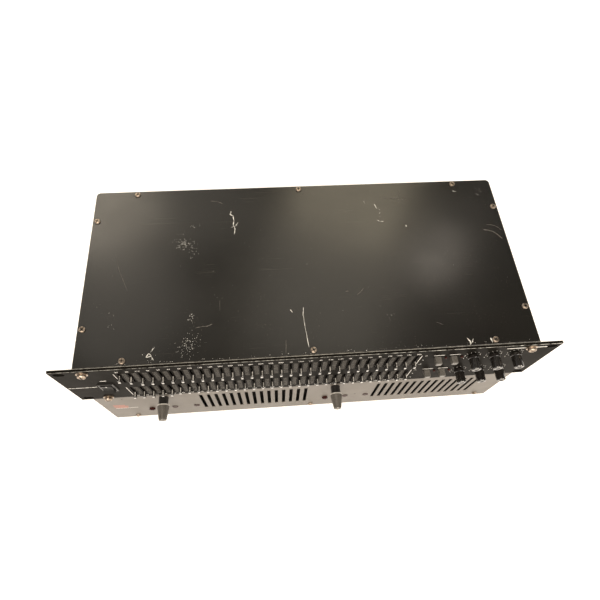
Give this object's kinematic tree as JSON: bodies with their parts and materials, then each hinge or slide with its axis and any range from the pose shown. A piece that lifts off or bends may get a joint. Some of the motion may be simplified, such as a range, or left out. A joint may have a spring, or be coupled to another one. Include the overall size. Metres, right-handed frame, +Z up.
{
  "type": "graphic equalizer",
  "caption": "Rack-width graphic equalizer with two rows of band sliders, rotary and push controls, and a vented lower section with level knobs.",
  "frame": {"origin": "bottom centre of the whole object's box, on the plane that the feet stand on", "axes": "+X to the right seen from the front, +Y to the back, +Z up"},
  "size_m": [0.4826, 0.2326, 0.1842],
  "materials": {
    "cover_black": "satin black enamel, worn",
    "panel_black": "satin black enamel",
    "panel_lower": "satin warm grey",
    "zinc_steel": "zinc-plated sheet steel",
    "screw_steel": "plated, worn",
    "foot_rubber": "matt",
    "can_steel": "plated cans",
    "black_plastic": "fine texture",
    "black_gloss": "glossy",
    "level_knob": "satin dark grey",
    "slider_cap": "glossy black",
    "led_lens": "dark tinted lens",
    "board": "solder-masked board",
    "winding": "taped winding",
    "fin_aluminium": "extruded",
    "socket_metal": "dark plated",
    "print_white": "printed marks",
    "print_red": "printed block",
    "bare_scratch": "scratched paint"
  },
  "bodies": {
    "root": {"chassis_tray": "zinc_steel", "top_cover": "cover_black", "rear_panel": "cover_black", "upper_front_panel": "panel_black", "lower_front_panel": "panel_lower", "screws": "screw_steel", "rubber_feet": "foot_rubber", "potentiometer_bodies": "can_steel", "switch_bodies": "black_plastic", "indicator_leds": "led_lens", "circuit_boards": "board", "power_transformer": "winding", "heat_sinks": "fin_aluminium", "xlr_sockets": "socket_metal", "jack_sockets": "socket_metal", "mains_inlet": "black_plastic"},
    "power_rocker": {"power_rocker": "black_gloss"},
    "slider_20": {"slider_20": "slider_cap"},
    "slider_25": {"slider_25": "slider_cap"},
    "slider_31_5": {"slider_31_5": "slider_cap"},
    "slider_40": {"slider_40": "slider_cap"},
    "slider_50": {"slider_50": "slider_cap"},
    "slider_63": {"slider_63": "slider_cap"},
    "slider_80": {"slider_80": "slider_cap"},
    "slider_100": {"slider_100": "slider_cap"},
    "slider_125": {"slider_125": "slider_cap"},
    "slider_160": {"slider_160": "slider_cap"},
    "slider_200": {"slider_200": "slider_cap"},
    "slider_250": {"slider_250": "slider_cap"},
    "slider_315": {"slider_315": "slider_cap"},
    "slider_400": {"slider_400": "slider_cap"},
    "slider_500": {"slider_500": "slider_cap"},
    "slider_630": {"slider_630": "slider_cap"},
    "slider_800": {"slider_800": "slider_cap"},
    "slider_1k": {"slider_1k": "slider_cap"},
    "slider_1_25k": {"slider_1_25k": "slider_cap"},
    "slider_1_6k": {"slider_1_6k": "slider_cap"},
    "slider_2k": {"slider_2k": "slider_cap"},
    "slider_2_5k": {"slider_2_5k": "slider_cap"},
    "slider_3_15k": {"slider_3_15k": "slider_cap"},
    "slider_4k": {"slider_4k": "slider_cap"},
    "slider_5k": {"slider_5k": "slider_cap"},
    "slider_6_3k": {"slider_6_3k": "slider_cap"},
    "slider_8k": {"slider_8k": "slider_cap"},
    "slider_10k": {"slider_10k": "slider_cap"},
    "slider_12_5k": {"slider_12_5k": "slider_cap"},
    "slider_16k": {"slider_16k": "slider_cap"},
    "slider_20k": {"slider_20k": "slider_cap"},
    "upper_gain_knob": {"upper_gain_knob": "black_gloss"},
    "upper_low_cut_knob": {"upper_low_cut_knob": "black_gloss"},
    "upper_high_cut_knob": {"upper_high_cut_knob": "black_gloss"},
    "lower_gain_knob": {"lower_gain_knob": "black_gloss"},
    "lower_low_cut_knob": {"lower_low_cut_knob": "black_gloss"},
    "lower_high_cut_knob": {"lower_high_cut_knob": "black_gloss"},
    "upper_bypass_button": {"upper_bypass_button": "black_plastic"},
    "upper_range_button": {"upper_range_button": "black_plastic"},
    "lower_bypass_button": {"lower_bypass_button": "black_plastic"},
    "lower_range_button": {"lower_range_button": "black_plastic"},
    "level_a_knob": {"level_a_knob": "level_knob"},
    "level_b_knob": {"level_b_knob": "level_knob"}
  },
  "joints": [
    {"name": "power_rocker_tilt", "type": "hinge", "parent": "root", "child": "power_rocker", "pos_m": [-0.202, -0.08865, 0.133], "axis": [1, 0, 0], "range_deg": [0, 20]},
    {"name": "slider_20_slide", "type": "slide", "parent": "root", "child": "slider_20", "axis": [0, 0, 1], "range_m": [-0.004, 0.0045]},
    {"name": "slider_25_slide", "type": "slide", "parent": "root", "child": "slider_25", "axis": [0, 0, 1], "range_m": [-0.004, 0.009]},
    {"name": "slider_31_5_slide", "type": "slide", "parent": "root", "child": "slider_31_5", "axis": [0, 0, 1], "range_m": [-0.004, 0.0145]},
    {"name": "slider_40_slide", "type": "slide", "parent": "root", "child": "slider_40", "axis": [0, 0, 1], "range_m": [-0.004, 0.0145]},
    {"name": "slider_50_slide", "type": "slide", "parent": "root", "child": "slider_50", "axis": [0, 0, 1], "range_m": [-0.004, 0.0145]},
    {"name": "slider_63_slide", "type": "slide", "parent": "root", "child": "slider_63", "axis": [0, 0, 1], "range_m": [-0.0055, 0.0105]},
    {"name": "slider_80_slide", "type": "slide", "parent": "root", "child": "slider_80", "axis": [0, 0, 1], "range_m": [-0.0055, 0.0105]},
    {"name": "slider_100_slide", "type": "slide", "parent": "root", "child": "slider_100", "axis": [0, 0, 1], "range_m": [-0.0055, 0.0105]},
    {"name": "slider_125_slide", "type": "slide", "parent": "root", "child": "slider_125", "axis": [0, 0, 1], "range_m": [-0.0055, 0.0105]},
    {"name": "slider_160_slide", "type": "slide", "parent": "root", "child": "slider_160", "axis": [0, 0, 1], "range_m": [-0.0055, 0.0105]},
    {"name": "slider_200_slide", "type": "slide", "parent": "root", "child": "slider_200", "axis": [0, 0, 1], "range_m": [-0.0055, 0.0105]},
    {"name": "slider_250_slide", "type": "slide", "parent": "root", "child": "slider_250", "axis": [0, 0, 1], "range_m": [-0.0055, 0.0105]},
    {"name": "slider_315_slide", "type": "slide", "parent": "root", "child": "slider_315", "axis": [0, 0, 1], "range_m": [-0.0055, 0.0105]},
    {"name": "slider_400_slide", "type": "slide", "parent": "root", "child": "slider_400", "axis": [0, 0, 1], "range_m": [-0.0055, 0.0105]},
    {"name": "slider_500_slide", "type": "slide", "parent": "root", "child": "slider_500", "axis": [0, 0, 1], "range_m": [-0.0055, 0.0105]},
    {"name": "slider_630_slide", "type": "slide", "parent": "root", "child": "slider_630", "axis": [0, 0, 1], "range_m": [-0.0055, 0.0105]},
    {"name": "slider_800_slide", "type": "slide", "parent": "root", "child": "slider_800", "axis": [0, 0, 1], "range_m": [-0.0055, 0.0105]},
    {"name": "slider_1k_slide", "type": "slide", "parent": "root", "child": "slider_1k", "axis": [0, 0, 1], "range_m": [-0.0055, 0.0105]},
    {"name": "slider_1_25k_slide", "type": "slide", "parent": "root", "child": "slider_1_25k", "axis": [0, 0, 1], "range_m": [-0.0055, 0.0105]},
    {"name": "slider_1_6k_slide", "type": "slide", "parent": "root", "child": "slider_1_6k", "axis": [0, 0, 1], "range_m": [-0.0055, 0.0105]},
    {"name": "slider_2k_slide", "type": "slide", "parent": "root", "child": "slider_2k", "axis": [0, 0, 1], "range_m": [-0.0055, 0.0105]},
    {"name": "slider_2_5k_slide", "type": "slide", "parent": "root", "child": "slider_2_5k", "axis": [0, 0, 1], "range_m": [-0.0055, 0.0105]},
    {"name": "slider_3_15k_slide", "type": "slide", "parent": "root", "child": "slider_3_15k", "axis": [0, 0, 1], "range_m": [-0.0055, 0.0105]},
    {"name": "slider_4k_slide", "type": "slide", "parent": "root", "child": "slider_4k", "axis": [0, 0, 1], "range_m": [-0.0055, 0.0105]},
    {"name": "slider_5k_slide", "type": "slide", "parent": "root", "child": "slider_5k", "axis": [0, 0, 1], "range_m": [-0.0055, 0.0105]},
    {"name": "slider_6_3k_slide", "type": "slide", "parent": "root", "child": "slider_6_3k", "axis": [0, 0, 1], "range_m": [-0.0055, 0.0105]},
    {"name": "slider_8k_slide", "type": "slide", "parent": "root", "child": "slider_8k", "axis": [0, 0, 1], "range_m": [-0.0055, 0.0105]},
    {"name": "slider_10k_slide", "type": "slide", "parent": "root", "child": "slider_10k", "axis": [0, 0, 1], "range_m": [-0.0055, 0.0105]},
    {"name": "slider_12_5k_slide", "type": "slide", "parent": "root", "child": "slider_12_5k", "axis": [0, 0, 1], "range_m": [-0.0055, 0.0105]},
    {"name": "slider_16k_slide", "type": "slide", "parent": "root", "child": "slider_16k", "axis": [0, 0, 1], "range_m": [-0.0055, 0.0105]},
    {"name": "slider_20k_slide", "type": "slide", "parent": "root", "child": "slider_20k", "axis": [0, 0, 1], "range_m": [-0.0055, 0.0105]},
    {"name": "upper_gain_turn", "type": "hinge", "parent": "root", "child": "upper_gain_knob", "pos_m": [0.158, -0.09165, 0.164], "axis": [0, 1, 0], "range_deg": [-150, 150]},
    {"name": "upper_low_cut_turn", "type": "hinge", "parent": "root", "child": "upper_low_cut_knob", "pos_m": [0.1795, -0.09165, 0.164], "axis": [0, 1, 0], "range_deg": [-150, 150]},
    {"name": "upper_high_cut_turn", "type": "hinge", "parent": "root", "child": "upper_high_cut_knob", "pos_m": [0.201, -0.09165, 0.164], "axis": [0, 1, 0], "range_deg": [-150, 150]},
    {"name": "lower_gain_turn", "type": "hinge", "parent": "root", "child": "lower_gain_knob", "pos_m": [0.158, -0.09165, 0.122], "axis": [0, 1, 0], "range_deg": [-150, 150]},
    {"name": "lower_low_cut_turn", "type": "hinge", "parent": "root", "child": "lower_low_cut_knob", "pos_m": [0.1795, -0.09165, 0.122], "axis": [0, 1, 0], "range_deg": [-150, 150]},
    {"name": "lower_high_cut_turn", "type": "hinge", "parent": "root", "child": "lower_high_cut_knob", "pos_m": [0.201, -0.09165, 0.122], "axis": [0, 1, 0], "range_deg": [-150, 150]},
    {"name": "upper_bypass_press", "type": "slide", "parent": "root", "child": "upper_bypass_button", "axis": [0, 1, 0], "range_m": [0, 0.003], "stiffness_N_per_m": 300, "springref_m": -0.001},
    {"name": "upper_range_press", "type": "slide", "parent": "root", "child": "upper_range_button", "axis": [0, 1, 0], "range_m": [0, 0.003], "stiffness_N_per_m": 300, "springref_m": -0.001},
    {"name": "lower_bypass_press", "type": "slide", "parent": "root", "child": "lower_bypass_button", "axis": [0, 1, 0], "range_m": [0, 0.003], "stiffness_N_per_m": 300, "springref_m": -0.001},
    {"name": "lower_range_press", "type": "slide", "parent": "root", "child": "lower_range_button", "axis": [0, 1, 0], "range_m": [0, 0.003], "stiffness_N_per_m": 300, "springref_m": -0.001},
    {"name": "level_a_turn", "type": "hinge", "parent": "root", "child": "level_a_knob", "pos_m": [-0.159, -0.09065, 0.0825], "axis": [0, 1, 0], "range_deg": [-150, 150]},
    {"name": "level_b_turn", "type": "hinge", "parent": "root", "child": "level_b_knob", "pos_m": [0.03, -0.09065, 0.0825], "axis": [0, 1, 0], "range_deg": [-150, 150]}
  ]
}
